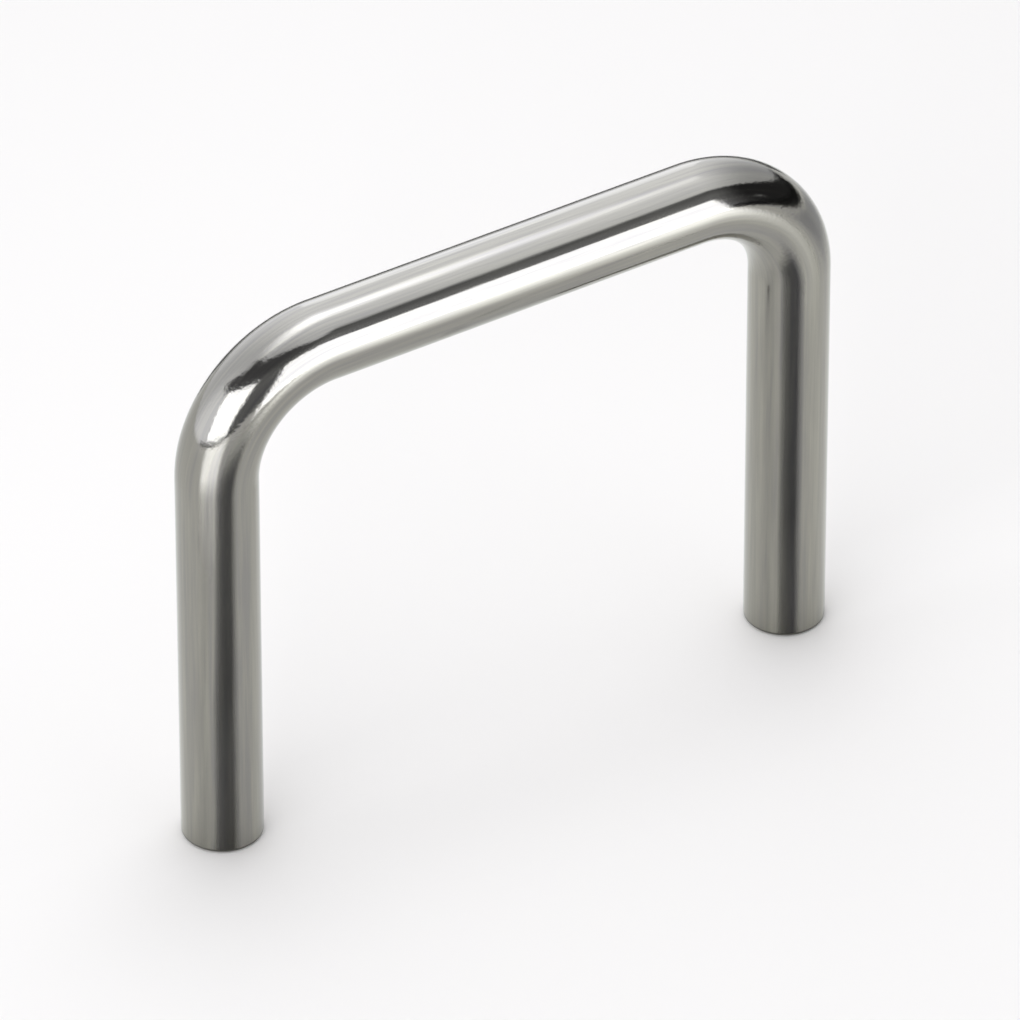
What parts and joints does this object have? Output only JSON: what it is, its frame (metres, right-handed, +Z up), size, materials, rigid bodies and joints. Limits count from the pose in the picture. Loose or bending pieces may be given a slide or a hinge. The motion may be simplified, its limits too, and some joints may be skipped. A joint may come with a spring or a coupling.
{
  "type": "u-shaped pull handle",
  "caption": "Round stainless bar bent into a U, with tapped ends that screw to a door, drawer or cover so that it can be pulled or lifted by hand.",
  "frame": {"origin": "on the mounting plane, midway between the axes of the two legs", "axes": "+X along the grip, +Z up the legs, away from the mounting plane"},
  "size_m": [0.09, 0.01, 0.072],
  "materials": {
    "stainless_steel": "polished along the bar, with a fine lengthwise grain"
  },
  "bodies": {
    "root": {"handle": "stainless_steel"}
  },
  "joints": []
}
